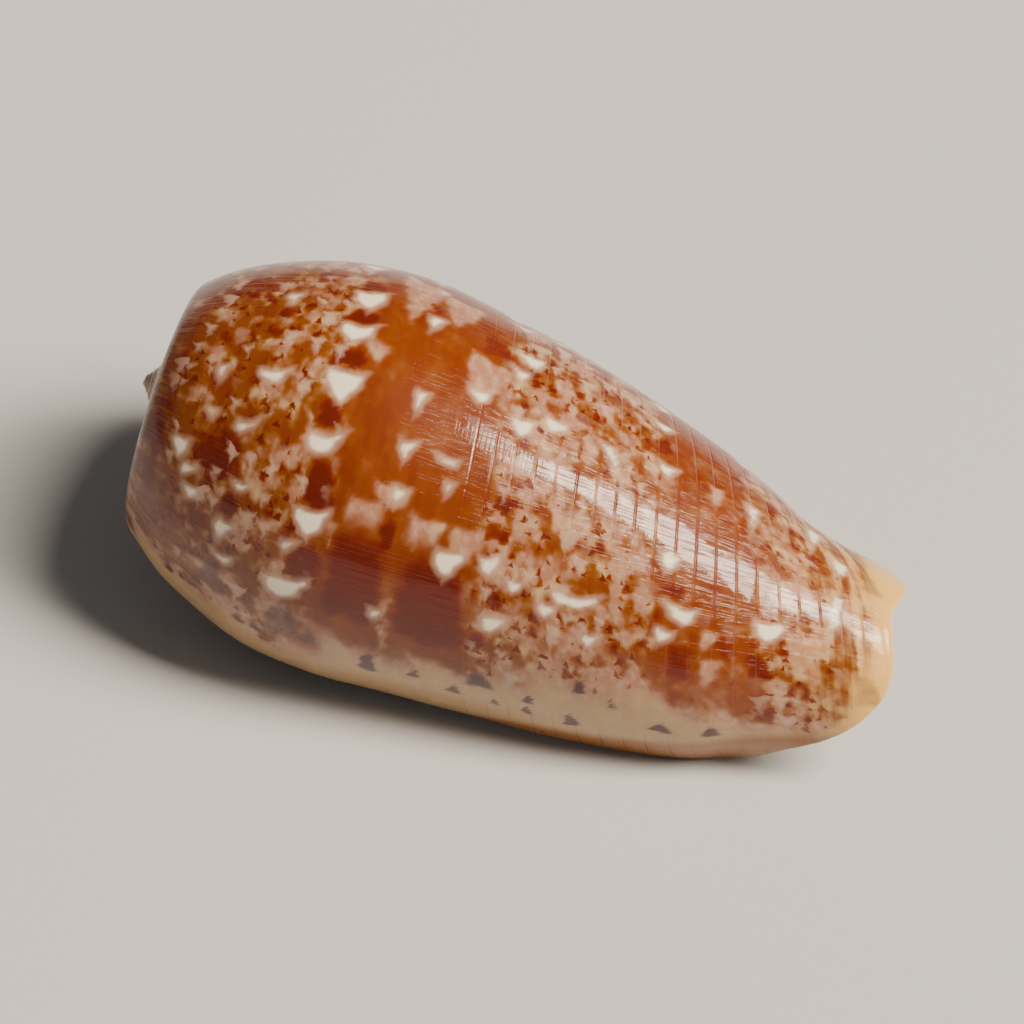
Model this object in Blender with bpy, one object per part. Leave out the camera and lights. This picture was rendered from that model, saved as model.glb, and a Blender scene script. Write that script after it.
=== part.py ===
"""Cone shell, grown as one piece: a swollen body whorl, a low coiled spire and a long gaping aperture.

Lengths are in millimetres and angles in degrees until the mesh is placed, in metres, by place_shell.
The shell's own axis is X, from the apex at 0 to the anterior end. A point of the outer surface is named
by two numbers: its back angle, which is how far back from the lip edge it was grown, and its place on
the generating curve, from 0 at the suture to 1 at the anterior rim.
"""
import math

import bmesh
import bpy
import numpy as np
from mathutils import Matrix

MM = 0.001
TURN = 360.0

# Each whorl is this much wider than the one before it.
GROWTH = 1.55

# Generating curve at the lip, as (x, radius): ramp, crest, shoulder, side, neck, anterior end.
RAMP = ((3.15, 8.9), (2.75, 9.8))
CREST_RADIUS = 10.5
NEXT_SUTURE = (3.05, 11.85)
SIDE = (
    (4.3, 12.95), (6.15, 14.25), (8.9, 15.55), (13.0, 17.15), (19.0, 18.05), (26.0, 17.15), (33.0, 15.55),
    (40.0, 13.3), (46.0, 10.95), (51.0, 8.5), (54.5, 6.5), (57.5, 5.55), (60.0, 5.0), (61.8, 4.35), (64.5, 2.8),
)

# The crest climbs towards a small pointed apex.
SPIRE_HEIGHT = 2.45
SPIRE_FALL = 2.1
SHOULDER_END = 12.0
SPIRE_TURNS = 5.5
APEX_X = 0.3

# The body whorl's crest and shoulder are lower on the side away from the lip, as back angles and x.
SLOPE_CUT = 0.75
SLOPE_RISE = (50.0, 170.0)
SLOPE_FADE = (230.0, 350.0)
SLOPE_X = (4.5, 11.0)

# The outer wall swings away from the axis towards the lip, as (x, extra radius).
FLARE = ((19.0, 0.0), (26.0, 0.65), (33.0, 1.85), (40.0, 3.7), (46.0, 5.35), (51.0, 6.75), (55.0, 7.55),
         (60.0, 7.7), (64.5, 8.6))
FLARE_END = 210.0
FLARE_POWER = 3.6

# Anterior rim, as (back angle, x): rounded lip corner, shallow notch, tip of the columella.
RIM = (
    (0.0, 53.6), (2.0, 54.9), (5.0, 55.8), (10.0, 57.0), (16.0, 58.5), (24.0, 60.5), (34.0, 62.4), (46.0, 63.7),
    (60.0, 63.8), (76.0, 63.0), (90.0, 62.4), (102.0, 62.7), (116.0, 63.0), (136.0, 62.9), (170.0, 62.6),
    (220.0, 62.3), (360.0, 62.0), (560.0, 61.4),
)

# The lip edge draws back on the ramp in a shallow sinus.
SINUS_DEPTH = 9.0
SINUS_REACH = 70.0
SINUS_END_X = 9.0

# Wall of the open last part of the whorl.
WALL = 0.9
LIP_WALL = 0.6
LIP_THINNING = 28.0
NARROW_SHARE = 0.5
CORNER_SHARE = 0.12
JUNCTION_SPREAD = 0.22
EDGE_BULGE = 0.3

# The cavity is open back to CAVITY_END and pinches shut over its last stretch.
CAVITY_PINCH = 132.0
CAVITY_END = 198.0

# Resting attitude: lip edge below the horizontal, anterior end down.
LIP_DROP = 34.7
PITCH = 7.2

# Mesh resolution.
STEP = 6.0
SIDE_ROWS = 24
TIP_BULGE = 0.4
MERGE = 0.0001

SHELL_COLOUR = (0.42, 0.16, 0.06, 1.0)
SHELL_ROUGHNESS = 0.25


def smooth(value, low, high):
    """Smooth step from 0 at low to 1 at high."""
    share = np.clip((value - low) / (high - low), 0.0, 1.0)
    return share * share * (3.0 - 2.0 * share)


def curve_through(knots, values, at):
    """Smooth curve through the values at the knots, read at other places."""
    knots = np.asarray(knots, float)
    values = np.asarray(values, float)
    slopes = np.gradient(values, knots)
    place = np.clip(at, knots[0], knots[-1])
    i = np.clip(np.searchsorted(knots, place, side="right") - 1, 0, len(knots) - 2)
    width = knots[i + 1] - knots[i]
    t = (place - knots[i]) / width
    start = (2 * t**3 - 3 * t**2 + 1) * values[i] + (t**3 - 2 * t**2 + t) * width * slopes[i]
    end = (3 * t**2 - 2 * t**3) * values[i + 1] + (t**3 - t**2) * width * slopes[i + 1]
    return start + end


def crest_level(radius):
    """X of the crest where it has this radius, measured from the apex."""
    return SPIRE_HEIGHT * (1.0 - np.exp(-radius / SPIRE_FALL))


OUTLINE = np.array((
    (RAMP[0][0], NEXT_SUTURE[1] / GROWTH), *RAMP, (crest_level(CREST_RADIUS), CREST_RADIUS), NEXT_SUTURE, *SIDE,
))
CURVE = np.concatenate(([0.0], np.cumsum(np.hypot(*np.diff(OUTLINE, axis=0).T))))
CURVE /= CURVE[-1]
CREST = CURVE[len(RAMP) + 1]
SUTURE = CURVE[len(RAMP) + 2]
JUNCTION = CURVE[len(RAMP) + 3]
WIDEST = CURVE[len(RAMP) + 7]
CREST_X = OUTLINE[len(RAMP) + 1, 0]

FLARE_X, FLARE_RADIUS = np.array(FLARE).T
RIM_BACK, RIM_X = np.array(RIM).T
RIM_SEARCH = np.linspace(WIDEST, 1.0, 400)
RIM_SEARCH_X = curve_through(CURVE, OUTLINE[:, 0], RIM_SEARCH)


def place_on_outline(back, place):
    """Place on the whole outline, drawn in so that place 1 falls on the anterior rim."""
    rim = np.interp(curve_through(RIM_BACK, RIM_X, back), RIM_SEARCH_X, RIM_SEARCH)
    return np.where(place > WIDEST, WIDEST + (place - WIDEST) * (rim - WIDEST) / (1.0 - WIDEST), place)


def section_x(size, lip_x, on_outline):
    """X of the outer surface: coiled with the spire up to the shoulder, straight along the side."""
    level = crest_level(CREST_RADIUS * size)
    suture_x = crest_level(CREST_RADIUS * size / GROWTH) + (NEXT_SUTURE[0] - CREST_X) * size / GROWTH
    ramp_foot_x = level + (OUTLINE[0, 0] - CREST_X) * size
    drop = (suture_x - ramp_foot_x) * (1.0 - smooth(on_outline, 0.0, CREST))
    spire_x = level + (lip_x - CREST_X) * size + drop
    on_side = np.where(on_outline > CREST, smooth(lip_x, NEXT_SUTURE[0], SHOULDER_END), 0.0)
    return spire_x * (1.0 - on_side) + lip_x * on_side


def section_radius(back, size, lip_x, on_outline):
    """Radius of the outer surface, with the low far shoulder and the flare towards the lip."""
    lip_radius = curve_through(CURVE, OUTLINE[:, 1], on_outline)
    far = smooth(back, *SLOPE_RISE) * (1.0 - smooth(back, *SLOPE_FADE))
    cut = SLOPE_CUT * far * smooth(on_outline, 0.0, CREST) * (1.0 - smooth(lip_x, *SLOPE_X))
    fade = np.cos(np.radians(90.0 * np.clip(back / FLARE_END, 0.0, 1.0))) ** FLARE_POWER
    return (lip_radius - cut) * size + curve_through(FLARE_X, FLARE_RADIUS, lip_x) * fade


def section_point(back, place):
    """X and radius of the outer surface at a back angle and a place on the generating curve."""
    on_outline = place_on_outline(back, place)
    lip_x = curve_through(CURVE, OUTLINE[:, 0], on_outline)
    size = GROWTH ** (-back / TURN)
    return section_x(size, lip_x, on_outline), section_radius(back, size, lip_x, on_outline)


def sinus(back, place):
    """How far the growth line at this back angle is drawn back at this place, in degrees."""
    lip_x = curve_through(CURVE, OUTLINE[:, 0], place)
    past = 1.0 - smooth(np.where(place > CREST, lip_x, 0.0), NEXT_SUTURE[0], SINUS_END_X)
    near = 1.0 - smooth(back, 0.0, SINUS_REACH)
    return SINUS_DEPTH * smooth(place, 0.0, CREST) * past * near


def around(back, x, radius):
    """Points at an X and a radius, turned to their back angle about the shell's axis."""
    turned = np.radians(back - LIP_DROP)
    return np.stack((x, -radius * np.cos(turned), radius * np.sin(turned)), axis=-1)


def outer(back, place):
    """Points of the outer surface."""
    back, place = np.broadcast_arrays(back, place)
    grown = back + sinus(back, place)
    return around(grown, *section_point(grown, place))


def floor_place(across):
    """Place on the generating curve of the cavity's floor, across from the junction to the rim."""
    return JUNCTION + (1.0 - JUNCTION) * across


def wall_place(across):
    """Place on the outer surface that the inner face lies under."""
    start = 0.5 * CURVE[1]
    return floor_place(across) - (JUNCTION - start) * (1.0 - smooth(across, 0.0, JUNCTION_SPREAD))


def inner(back, across):
    """Points of the inner face of the outer wall."""
    back, across = np.broadcast_arrays(back, across)
    place = wall_place(across)
    grown = back + sinus(back, place) * smooth(across, 0.0, CORNER_SHARE)
    outer_x, outer_radius = section_point(grown, place)
    floor_x, floor_radius = section_point(grown + TURN, floor_place(across))
    gap = np.hypot(floor_x - outer_x, floor_radius - outer_radius)
    wall = LIP_WALL + (WALL - LIP_WALL) * smooth(back, 0.0, LIP_THINNING)
    limit = 1.0 + (NARROW_SHARE - 1.0) * smooth(across, 0.0, CORNER_SHARE)
    share = np.minimum(wall / gap, limit)
    share = share + (1.0 - share) * smooth(back, CAVITY_PINCH, CAVITY_END)
    share = np.where(across <= 0.0, 1.0, share)
    x = outer_x + (floor_x - outer_x) * share
    radius = outer_radius + (floor_radius - outer_radius) * share
    return around(grown, x, radius)


def unit(vectors):
    """The vectors at length 1."""
    return vectors / np.linalg.norm(vectors, axis=-1, keepdims=True)


def angles(first, last):
    """Back angles from first to last, one mesh step apart."""
    return np.linspace(first, last, round((last - first) / STEP) + 1)


def add_row(mesh, points):
    """Vertices at the points, in order."""
    return [mesh.verts.new(point) for point in points]


def add_grid(mesh, points):
    """Quads over a grid of points."""
    rows = [add_row(mesh, row) for row in points]
    for first, second in zip(rows, rows[1:]):
        for corners in zip(first, second, second[1:], first[1:]):
            mesh.faces.new(corners)


def add_fan(mesh, loop, centre):
    """Triangles from a closed loop of points to a centre."""
    rim = add_row(mesh, loop)
    hub = mesh.verts.new(centre)
    for a, b in zip(rim, rim[1:]):
        mesh.faces.new((a, b, hub))


def length_marks(points):
    """Share of the row's whole length at each of its points."""
    lengths = np.linalg.norm(np.diff(points, axis=0), axis=1)
    return np.concatenate(([0.0], np.cumsum(lengths))) / lengths.sum()


def add_strip(mesh, first, second):
    """Triangles between two rows of points with different counts."""
    rows = add_row(mesh, first), add_row(mesh, second)
    marks = length_marks(first), length_marks(second)
    i = j = 0
    while i + 1 < len(first) or j + 1 < len(second):
        next_first = marks[0][i + 1] if i + 1 < len(first) else math.inf
        next_second = marks[1][j + 1] if j + 1 < len(second) else math.inf
        if next_first <= next_second:
            mesh.faces.new((rows[0][i], rows[0][i + 1], rows[1][j]))
            i += 1
        else:
            mesh.faces.new((rows[0][i], rows[1][j + 1], rows[1][j]))
            j += 1


def add_body(mesh, places):
    """Outer face of the body whorl."""
    add_grid(mesh, outer(angles(0.0, TURN)[:, None], places))


def add_cavity(mesh, across):
    """Floor of the open cavity, and the inner face of the wall over it."""
    back = angles(0.0, CAVITY_END)[:, None]
    add_grid(mesh, outer(back + TURN, floor_place(across)))
    add_grid(mesh, inner(back, across))


def add_spire(mesh, places):
    """Coiled ramp of the earlier whorls, closed by a point at the apex."""
    last = TURN * SPIRE_TURNS
    ramp = places[places <= SUTURE]
    add_grid(mesh, outer(angles(TURN, last)[:, None], ramp))
    loop = np.concatenate((outer(angles(last - TURN, last), 0.0), outer(last, ramp[1:])))
    add_fan(mesh, loop, (APEX_X, 0.0, 0.0))


def edge_middle(across):
    """Middle row of the rounded edge, along the lip and then along the anterior rim."""
    lip_place = wall_place(across)
    lip = 0.5 * (outer(0.0, lip_place) + inner(0.0, across))
    lip_ahead = unit(outer(0.0, lip_place) - outer(1.0, lip_place))
    rim_back = angles(0.0, CAVITY_END)
    rim = 0.5 * (outer(rim_back, 1.0) + inner(rim_back, 1.0))
    rim_ahead = unit(outer(rim_back, 1.0) - outer(rim_back, 0.99))
    corner_ahead = unit(lip_ahead[-1] + rim_ahead[0])
    lip_ahead[-1] = corner_ahead
    middle = np.concatenate((lip + EDGE_BULGE * lip_ahead, rim[1:] + EDGE_BULGE * rim_ahead[1:]))
    middle[0] = outer(TURN, JUNCTION)
    return middle


def add_edge(mesh, places, across):
    """Rounded edge from the outer face to the inner face, along the lip and the anterior rim."""
    rim_back = angles(0.0, CAVITY_END)[1:]
    outside = np.concatenate((outer(0.0, places), outer(rim_back, 1.0)))
    inside = np.concatenate((inner(0.0, across), inner(rim_back, 1.0)))
    middle = edge_middle(across)
    add_strip(mesh, outside, middle)
    add_grid(mesh, np.stack((middle, inside)))
    tip = np.concatenate((outer(angles(CAVITY_END, CAVITY_END + TURN), 1.0), middle[-1:], outside[-1:]))
    centre = tip.mean(axis=0)
    centre[0] = tip[:, 0].max() + TIP_BULGE
    add_fan(mesh, tip, centre)


def shell_mesh():
    """The whole shell as one closed mesh, in metres on the shell's own axis."""
    ramp = (0.0, 0.5 * CURVE[1], CURVE[1], CREST, SUTURE)
    across = np.linspace(0.0, 1.0, SIDE_ROWS + 1)
    places = np.concatenate((ramp, floor_place(across)))
    mesh = bmesh.new()
    add_body(mesh, places)
    add_cavity(mesh, across)
    add_spire(mesh, places)
    add_edge(mesh, places, across)
    bmesh.ops.remove_doubles(mesh, verts=mesh.verts, dist=MERGE)
    bmesh.ops.recalc_face_normals(mesh, faces=mesh.faces)
    bmesh.ops.scale(mesh, vec=(MM, MM, MM), verts=mesh.verts)
    return mesh


def shell_material():
    """Glossy chestnut, the shell's mean colour."""
    material = bpy.data.materials.new("shell")
    material.use_nodes = True
    surface = material.node_tree.nodes["Principled BSDF"]
    surface.inputs["Base Color"].default_value = SHELL_COLOUR
    surface.inputs["Roughness"].default_value = SHELL_ROUGHNESS
    surface.inputs["Metallic"].default_value = 0.0
    return material


def place_shell(shell):
    """Lay the shell as it rests, with its lowest point on the ground and its box centred on the origin."""
    turn = Matrix.Rotation(math.radians(PITCH), 4, "Y")
    points = np.array([turn @ vertex.co for vertex in shell.data.vertices])
    low = points.min(axis=0)
    high = points.max(axis=0)
    middle = 0.5 * (low + high)
    shell.rotation_euler = (0.0, math.radians(PITCH), 0.0)
    shell.location = (-middle[0], -middle[1], -low[2])


def main():
    for old in list(bpy.data.objects):
        bpy.data.objects.remove(old, do_unlink=True)
    mesh = shell_mesh()
    data = bpy.data.meshes.new("shell")
    mesh.to_mesh(data)
    mesh.free()
    data.materials.append(shell_material())
    data.shade_smooth()
    shell = bpy.data.objects.new("shell", data)
    bpy.context.scene.collection.objects.link(shell)
    place_shell(shell)


main()
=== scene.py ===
"""Looks of the cone shell: a dense mesh of the same coil as the solid, its pattern, floor, lights and camera.

Lengths are in millimetres and angles in degrees, on the shell's own axis, until the mesh is placed in metres.
A point of the outer surface has a back angle, from 0 at the lip edge, and a place on the generating curve.
The pattern is drawn on a chart of X against back angle, as if the last whorl were unrolled.
"""

import math

import bmesh
import bpy
import numpy as np
from mathutils import Matrix, Vector


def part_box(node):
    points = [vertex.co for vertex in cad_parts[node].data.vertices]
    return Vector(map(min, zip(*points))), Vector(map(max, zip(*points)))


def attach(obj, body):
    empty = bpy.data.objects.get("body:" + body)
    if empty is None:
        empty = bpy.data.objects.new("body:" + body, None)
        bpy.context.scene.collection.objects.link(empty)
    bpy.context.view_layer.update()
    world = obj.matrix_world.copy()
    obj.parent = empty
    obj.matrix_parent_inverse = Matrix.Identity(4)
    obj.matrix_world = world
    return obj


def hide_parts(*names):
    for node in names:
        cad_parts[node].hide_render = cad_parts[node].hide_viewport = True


MM = 0.001
TURN = 360.0

# Form of the coil, as in the solid: each whorl is this much wider than the one before it.
GROWTH = 1.55

# Generating curve at the lip, as (x, radius): ramp, crest, shoulder, side, neck, anterior end.
RAMP = ((3.15, 8.9), (2.75, 9.8))
CREST_RADIUS = 10.5
NEXT_SUTURE = (3.05, 11.85)
SIDE = (
    (4.3, 12.95), (6.15, 14.25), (8.9, 15.55), (13.0, 17.15), (19.0, 18.05), (26.0, 17.15), (33.0, 15.55),
    (40.0, 13.3), (46.0, 10.95), (51.0, 8.5), (54.5, 6.5), (57.5, 5.55), (60.0, 5.0), (61.8, 4.35),
    (64.5, 2.8),
)

# The crest climbs towards a small pointed apex, here with more turns than the solid has.
SPIRE_HEIGHT = 2.45
SPIRE_FALL = 2.1
SHOULDER_END = 12.0
SPIRE_TURNS = 7.0
APEX_X = 0.3

# The body whorl's crest and shoulder are lower on the side away from the lip, as back angles and x.
SLOPE_CUT = 0.75
SLOPE_RISE = (50.0, 170.0)
SLOPE_FADE = (230.0, 350.0)
SLOPE_X = (4.5, 11.0)

# The outer wall swings away from the axis towards the lip, as (x, extra radius).
FLARE = ((19.0, 0.0), (26.0, 0.65), (33.0, 1.85), (40.0, 3.7), (46.0, 5.35), (51.0, 6.75), (55.0, 7.55),
         (60.0, 7.7), (64.5, 8.6))
FLARE_END = 210.0
FLARE_POWER = 3.6

# Anterior rim, as (back angle, x): rounded lip corner, shallow notch, tip of the columella.
RIM = (
    (0.0, 53.6), (2.0, 54.9), (5.0, 55.8), (10.0, 57.0), (16.0, 58.5), (24.0, 60.5), (34.0, 62.4),
    (46.0, 63.7), (60.0, 63.8), (76.0, 63.0), (90.0, 62.4), (102.0, 62.7), (116.0, 63.0), (136.0, 62.9),
    (170.0, 62.6), (220.0, 62.3), (360.0, 62.0), (560.0, 61.4),
)

# The lip edge draws back on the ramp in a shallow sinus.
SINUS_DEPTH = 9.0
SINUS_REACH = 70.0
SINUS_END_X = 9.0

# Wall of the open last part of the whorl.
WALL = 0.9
LIP_WALL = 0.6
LIP_THINNING = 28.0
NARROW_SHARE = 0.5
CORNER_SHARE = 0.12
JUNCTION_SPREAD = 0.22
EDGE_BULGE = 0.3

# The cavity is open back to CAVITY_END and pinches shut over its last stretch.
CAVITY_PINCH = 132.0
CAVITY_END = 198.0

# Resting attitude: lip edge below the horizontal, anterior end down.
LIP_DROP = 34.7
PITCH = 7.2

# Mesh resolution: back angle steps, and rows along the generating curve.
BODY_STEP = 1.0
CAVITY_STEP = 2.0
SPIRE_STEP = 4.0
FOOT_ROWS = 3
RAMP_ROWS = 7
CREST_ROWS = 4
SIDE_ROWS = 172
CAVITY_ROWS = 86
EDGE_ROWS = 5

# How far the column's closed end bulges, and how near points are when they merge, in millimetres.
TIP_BULGE = 0.4
MERGE = 0.0001

# Steps in which the anterior rim is sought, and a place just behind it, which gives its direction.
RIM_STEPS = 400
RIM_BEHIND = 0.99

# One degree of back angle is about this long on the last whorl, in millimetres.
CHART_MM = 0.3

# How far the marks' outlines wander, in millimetres, and the lengths and seed of the waves that move them.
WARP_MM = 0.4
WARP_X_WAVES = ((1.3, 2.1, 1.7, 3.4), 21)
WARP_BACK_WAVES = ((1.2, 1.9, 2.6, 3.7), 22)

# A tent's hollow at its older edge and the swelling of its sides, as shares of its base. Each is drawn
# smaller by these millimetres before and after a stretch of x.
TENT_SAG = 0.1
TENT_BULGE = 0.16
TENT_SHRINK = (0.2, 0.09)
TENT_SHRINK_X = (11.5, 15.5)

# Depth in a tent, in millimetres, that stands for anything further out.
FAR_OUTSIDE = -9.0

# Depths of a flame's soft edge, in millimetres, and the share of the pigment that it takes away.
FLAME_EDGE = (-0.5, 0.8)
FLAME_PALES = 0.95

# A blotch's width at its newer end and its soft side, as shares of its half width, and how it narrows.
BLOTCH_WIDTH = 1.2
BLOTCH_EDGE = (0.45, 1.15)
BLOTCH_TAPER = 0.3
SMUDGE_TAPER = 0.9

# Soft ends of a blotch: shares of its length at the newer and older end, and degrees past the older end.
BLOTCH_END = 0.12
BLOTCH_OLD_FADE = 0.5
BLOTCH_PAST_END = 2.0

# White tents on the side that the photo shows: left corner, right corner and tip, each as (x, back angle).
TENTS = (
    (15.4, 104.5, 18.4, 105.0, 17.0, 94.5), (15.1, 135.5, 17.7, 137.5, 16.6, 127.0),
    (15.1, 120.3, 18.0, 122.0, 16.4, 114.0), (10.4, 99.0, 12.8, 101.5, 11.6, 94.0),
    (10.3, 130.5, 11.6, 131.5, 10.9, 123.5), (7.3, 97.5, 8.4, 98.0, 7.8, 90.0),
    (22.4, 105.5, 23.5, 105.5, 23.0, 99.5), (21.4, 133.8, 22.6, 134.0, 21.8, 127.0),
    (21.0, 153.5, 21.9, 153.5, 21.4, 147.5), (29.7, 109.5, 32.0, 109.5, 31.0, 103.0),
    (28.5, 137.0, 30.8, 136.5, 30.3, 130.0), (27.6, 156.5, 29.2, 156.0, 28.5, 151.5),
    (28.8, 128.0, 30.2, 127.5, 29.7, 121.0), (26.0, 113.5, 28.1, 113.5, 27.2, 108.5),
    (15.6, 84.5, 18.3, 87.5, 16.9, 79.0), (10.0, 82.0, 12.0, 85.0, 10.4, 77.0),
    (7.4, 83.5, 8.6, 83.0, 8.1, 78.0), (16.4, 64.5, 19.0, 66.0, 17.9, 56.5),
    (16.0, 54.0, 17.3, 55.2, 16.4, 51.0), (10.8, 65.0, 12.6, 66.0, 11.9, 61.0),
    (6.8, 62.5, 8.3, 64.5, 7.2, 56.5), (7.3, 56.5, 9.1, 57.0, 8.1, 50.5),
    (10.6, 52.0, 12.4, 52.5, 11.0, 43.0), (15.4, 42.3, 18.9, 45.0, 16.9, 35.5),
    (10.6, 40.5, 12.9, 42.0, 11.9, 37.0), (23.0, 78.0, 24.3, 78.0, 23.7, 73.0),
    (27.6, 65.0, 29.9, 65.8, 28.9, 56.5), (31.0, 66.0, 32.8, 68.0, 32.1, 60.5),
    (23.9, 42.5, 25.1, 43.0, 24.6, 38.0), (22.6, 90.5, 23.8, 90.5, 23.2, 84.5),
    (25.5, 90.0, 27.3, 90.0, 26.5, 87.0), (26.8, 83.0, 27.6, 83.0, 27.2, 79.5),
    (5.4, 70.0, 7.2, 71.0, 6.6, 61.0), (32.3, 50.0, 34.5, 50.5, 33.3, 44.0),
    (40.3, 140.0, 42.0, 139.5, 41.2, 133.5), (41.8, 117.0, 43.4, 117.0, 42.5, 110.5),
    (49.2, 119.0, 50.2, 119.0, 50.2, 104.0), (36.8, 113.5, 38.0, 113.0, 39.3, 102.0),
    (32.4, 114.0, 34.4, 114.0, 33.2, 108.0), (54.2, 140.0, 55.5, 138.0, 55.0, 114.0),
    (56.6, 118.0, 58.2, 112.0, 57.8, 101.0), (43.9, 84.0, 45.8, 83.5, 44.9, 77.0),
    (45.4, 68.0, 48.2, 67.5, 47.4, 61.5), (45.5, 59.5, 47.1, 59.0, 46.0, 53.5),
    (52.6, 68.5, 55.1, 69.5, 53.9, 60.0), (57.7, 90.0, 58.8, 88.0, 58.4, 65.0),
    (37.0, 62.5, 40.8, 64.0, 38.6, 58.5), (33.3, 62.5, 34.9, 62.3, 34.1, 57.5),
    (36.2, 58.3, 37.7, 58.0, 37.0, 52.5), (40.1, 53.0, 41.6, 52.3, 40.8, 47.5),
)

# Lilac flames that break the brown bands, in the same form.
FLAMES = (
    (20.2, 72.0, 23.0, 73.0, 21.5, 57.0), (25.2, 72.5, 27.8, 72.0, 26.5, 60.0),
    (25.3, 127.0, 28.9, 125.0, 27.2, 108.5), (18.3, 158.0, 21.3, 152.0, 20.2, 129.0),
    (22.0, 150.0, 25.0, 152.0, 23.5, 133.0), (19.3, 63.0, 21.0, 63.0, 20.2, 53.5),
    (21.6, 78.0, 24.6, 78.0, 23.4, 71.0), (28.4, 72.0, 31.0, 73.0, 29.5, 60.0),
    (17.6, 118.0, 19.3, 116.0, 18.8, 109.0), (48.9, 61.0, 50.2, 61.0, 49.5, 54.0),
    (49.6, 52.0, 51.0, 52.0, 50.4, 42.0), (24.6, 46.0, 25.7, 46.0, 25.6, 28.0),
    (55.5, 66.0, 58.0, 66.0, 57.0, 50.0), (45.9, 119.0, 47.2, 118.0, 47.0, 106.0),
)

# Dark blotches: x, older end, newer end, half width and strength.
BLOTCHES = (
    (16.6, 114.0, 105.3, 1.45, 1.0), (16.6, 128.0, 121.3, 1.35, 0.95), (16.4, 144.0, 136.5, 1.15, 0.85),
    (16.2, 154.0, 148.0, 0.9, 0.7), (16.8, 96.5, 87.0, 1.3, 0.95), (17.7, 81.0, 65.7, 1.45, 1.0),
    (18.1, 60.0, 43.5, 1.6, 1.0), (22.1, 72.0, 35.0, 2.7, 0.98), (28.3, 71.0, 34.0, 3.3, 0.98),
    (23.8, 72.5, 59.0, 0.75, 0.9), (9.5, 84.0, 62.0, 2.2, 0.85), (11.3, 61.0, 53.5, 0.9, 0.95),
    (27.0, 144.0, 127.0, 1.5, 0.75), (21.7, 141.5, 135.0, 0.45, 0.85), (31.5, 85.0, 79.0, 0.9, 0.85),
    (31.8, 78.0, 71.0, 1.0, 0.85), (32.8, 61.0, 51.0, 0.8, 0.9), (32.6, 45.0, 38.0, 1.0, 0.8),
    (47.9, 59.0, 43.5, 1.1, 0.85), (54.0, 58.5, 46.5, 1.0, 0.8), (45.9, 76.0, 69.0, 0.9, 0.85),
    (51.0, 66.0, 52.0, 0.9, 0.65), (41.7, 131.0, 120.0, 0.8, 0.8), (47.8, 143.0, 123.0, 0.5, 0.75),
    (55.3, 111.0, 103.0, 0.6, 0.75), (51.0, 105.0, 96.0, 1.0, 0.7), (55.5, 38.0, 28.0, 0.8, 0.8),
    (11.0, 124.0, 118.0, 0.6, 0.8), (10.9, 117.0, 109.0, 0.6, 0.7), (7.7, 118.0, 100.0, 0.6, 0.6),
    (3.6, 104.0, 42.0, 1.5, 0.8), (9.0, 53.0, 44.0, 1.3, 0.75), (8.0, 150.0, 122.0, 2.6, 0.62),
)

# Grey-violet smudges near the lip: x, older end, newer end, half width and strength.
SMUDGES = (
    (24.8, 26.0, 16.5, 0.9, 1.0), (33.6, 31.0, 23.0, 1.4, 0.8), (17.6, 38.0, 21.0, 1.9, 0.55),
    (48.2, 25.0, 21.2, 1.2, 1.0), (41.3, 22.0, 15.5, 0.65, 1.0), (52.0, 26.5, 21.0, 0.9, 0.9),
    (37.7, 26.0, 22.0, 0.5, 1.0), (37.8, 20.0, 16.0, 0.45, 1.0), (35.2, 20.0, 16.0, 0.55, 0.8),
    (28.5, 24.0, 19.5, 0.6, 0.8), (31.8, 21.0, 16.5, 0.7, 0.8), (41.2, 37.0, 31.0, 0.65, 0.9),
    (11.2, 40.0, 24.0, 1.5, 0.5), (7.5, 21.0, 15.0, 0.5, 0.8), (14.0, 21.0, 17.0, 0.7, 0.7),
    (15.5, 21.5, 17.0, 0.8, 0.7), (20.0, 27.0, 22.0, 0.7, 0.6), (44.0, 32.0, 28.0, 0.5, 0.7),
    (62.5, 60.0, 43.0, 1.3, 0.42), (60.1, 116.0, 97.0, 1.1, 0.42),
)

# Spiral lines of tents, as (chart line, half width, tent height in degrees), continued round the hidden side.
TENT_LINES = (
    (8.3, 0.6, 6.5), (12.7, 1.1, 6.5), (19.1, 1.6, 8.5), (25.4, 0.5, 5.0), (33.8, 1.1, 7.0), (38.5, 0.9, 6.0),
    (43.5, 1.0, 6.5), (49.3, 1.1, 6.5), (58.5, 1.0, 8.0), (63.0, 0.7, 13.0),
)
SEEN_BACK = 160.0
HIDDEN_END = 576.0
HIDDEN_SEED = 11

# Seeded ranges for the tents of the hidden side, and for the blotch behind each.
HIDDEN_WIDTH = (0.6, 1.25)
HIDDEN_HEIGHT = (0.7, 1.3)
HIDDEN_LEAN = (-0.4, 0.4)
HIDDEN_TILT = (-0.15, 0.25)
HIDDEN_GAP = (1.5, 3.4)
HIDDEN_DARK = (0.7, 1.0)
HIDDEN_BLOTCH_WIDTH = 1.1
HIDDEN_BLOTCH_HEIGHT = 1.4
HIDDEN_BLOTCH_START = 0.5

# Brown bands as (start line, end line, strength), with the softness of their edges in lines.
BANDS = ((20.2, 33.5, 0.56), (48.6, 57.5, 0.54))
BAND_EDGE = 0.9

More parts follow.
